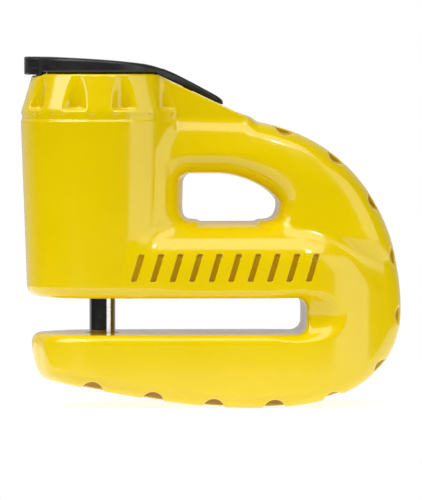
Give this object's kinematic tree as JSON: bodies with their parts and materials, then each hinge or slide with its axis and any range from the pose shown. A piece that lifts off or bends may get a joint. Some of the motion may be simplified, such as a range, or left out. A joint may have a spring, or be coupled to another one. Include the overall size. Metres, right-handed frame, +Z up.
{
  "type": "disc brake lock",
  "caption": "Yellow cast motorcycle disc brake lock with carrying hole, 5 mm pin, black top cover and push-down disc-detainer cylinder.",
  "frame": {"origin": "under the middle of the bounding box, on the lowest point of the belly", "axes": "+Z up along the locking pin; +X from the slot's open end to the spine; -Y towards the face with the row of bars"},
  "size_m": [0.073, 0.0314, 0.067],
  "materials": {
    "yellow_coating": "thick gloss vinyl coating",
    "black_plastic": "fine satin texture",
    "polished_steel": "polished hardened steel",
    "brushed_steel": "turned, satin",
    "dark_steel": "hardened, oil black",
    "brass": "stamped",
    "black_rubber": "moulded nitrile"
  },
  "bodies": {
    "lock_body": {"body": "yellow_coating", "top_cover": "black_plastic", "cover_screw_front": "dark_steel", "cover_screw_rear": "dark_steel", "guide_pin": "polished_steel", "wiper_seal": "black_rubber", "return_spring": "brushed_steel"},
    "lock_cylinder": {"cylinder_housing": "polished_steel", "locking_pin": "polished_steel", "pin_cross_pin": "dark_steel", "plug_snap_ring": "dark_steel"},
    "front_latch": {"latch_front": "dark_steel"},
    "rear_latch": {"latch_rear": "dark_steel"},
    "plug_unit": {"plug": "brushed_steel", "drill_plate": "dark_steel", "sidebar": "brass", "plug_cam": "dark_steel", "spacer_1": "brushed_steel", "spacer_2": "brushed_steel", "spacer_3": "brushed_steel", "spacer_4": "brushed_steel", "spacer_5": "brushed_steel", "spacer_6": "brushed_steel"},
    "shutter": {"keyway_shutter": "dark_steel"},
    "disc_1": {"detainer_disc_1": "brass"},
    "disc_2": {"detainer_disc_2": "brass"},
    "disc_3": {"detainer_disc_3": "brass"},
    "disc_4": {"detainer_disc_4": "brass"},
    "disc_5": {"detainer_disc_5": "brass"},
    "disc_6": {"detainer_disc_6": "brass"},
    "disc_7": {"detainer_disc_7": "brass"}
  },
  "joints": [
    {"name": "cylinder_push", "type": "slide", "parent": "lock_body", "child": "lock_cylinder", "axis": [0, 0, 1], "range_m": [0, 0.011], "deforming": ["return_spring"]},
    {"name": "latch_front_slide", "type": "slide", "parent": "lock_cylinder", "child": "front_latch", "axis": [0, 1, 0], "range_m": [0, 0.0024]},
    {"name": "latch_rear_slide", "type": "slide", "parent": "lock_cylinder", "child": "rear_latch", "axis": [0, -1, 0], "range_m": [0, 0.0024]},
    {"name": "plug_turn", "type": "hinge", "parent": "lock_cylinder", "child": "plug_unit", "pos_m": [-0.0208, 0, 0.0648], "axis": [0, 0, -1], "range_deg": [0, 90]},
    {"name": "shutter_slide", "type": "slide", "parent": "plug_unit", "child": "shutter", "axis": [1, 0, 0], "range_m": [0, 0.003]},
    {"name": "disc_1_turn", "type": "hinge", "parent": "plug_unit", "child": "disc_1", "pos_m": [-0.0208, 0, 0.0489], "axis": [0, 0, -1], "range_deg": [0, 90]},
    {"name": "disc_2_turn", "type": "hinge", "parent": "plug_unit", "child": "disc_2", "pos_m": [-0.0208, 0, 0.0507], "axis": [0, 0, -1], "range_deg": [0, 36]},
    {"name": "disc_3_turn", "type": "hinge", "parent": "plug_unit", "child": "disc_3", "pos_m": [-0.0208, 0, 0.0525], "axis": [0, 0, -1], "range_deg": [0, 72]},
    {"name": "disc_4_turn", "type": "hinge", "parent": "plug_unit", "child": "disc_4", "pos_m": [-0.0208, 0, 0.0543], "axis": [0, 0, -1], "range_deg": [0, 18]},
    {"name": "disc_5_turn", "type": "hinge", "parent": "plug_unit", "child": "disc_5", "pos_m": [-0.0208, 0, 0.0561], "axis": [0, 0, -1], "range_deg": [0, 54]},
    {"name": "disc_6_turn", "type": "hinge", "parent": "plug_unit", "child": "disc_6", "pos_m": [-0.0208, 0, 0.0579], "axis": [0, 0, -1], "range_deg": [0, 36]},
    {"name": "disc_7_turn", "type": "hinge", "parent": "plug_unit", "child": "disc_7", "pos_m": [-0.0208, 0, 0.0597], "axis": [0, 0, -1], "range_deg": [0, 72]}
  ],
  "couplings": [
    {"joint": "latch_front_slide", "follows": "cylinder_push", "ratio": 0.218},
    {"joint": "latch_rear_slide", "follows": "cylinder_push", "ratio": 0.218},
    {"joint": "disc_2_turn", "follows": "disc_1_turn", "ratio": 0.4},
    {"joint": "disc_3_turn", "follows": "disc_1_turn", "ratio": 0.8},
    {"joint": "disc_4_turn", "follows": "disc_1_turn", "ratio": 0.2},
    {"joint": "disc_5_turn", "follows": "disc_1_turn", "ratio": 0.6},
    {"joint": "disc_6_turn", "follows": "disc_1_turn", "ratio": 0.4},
    {"joint": "disc_7_turn", "follows": "disc_1_turn", "ratio": 0.8}
  ]
}
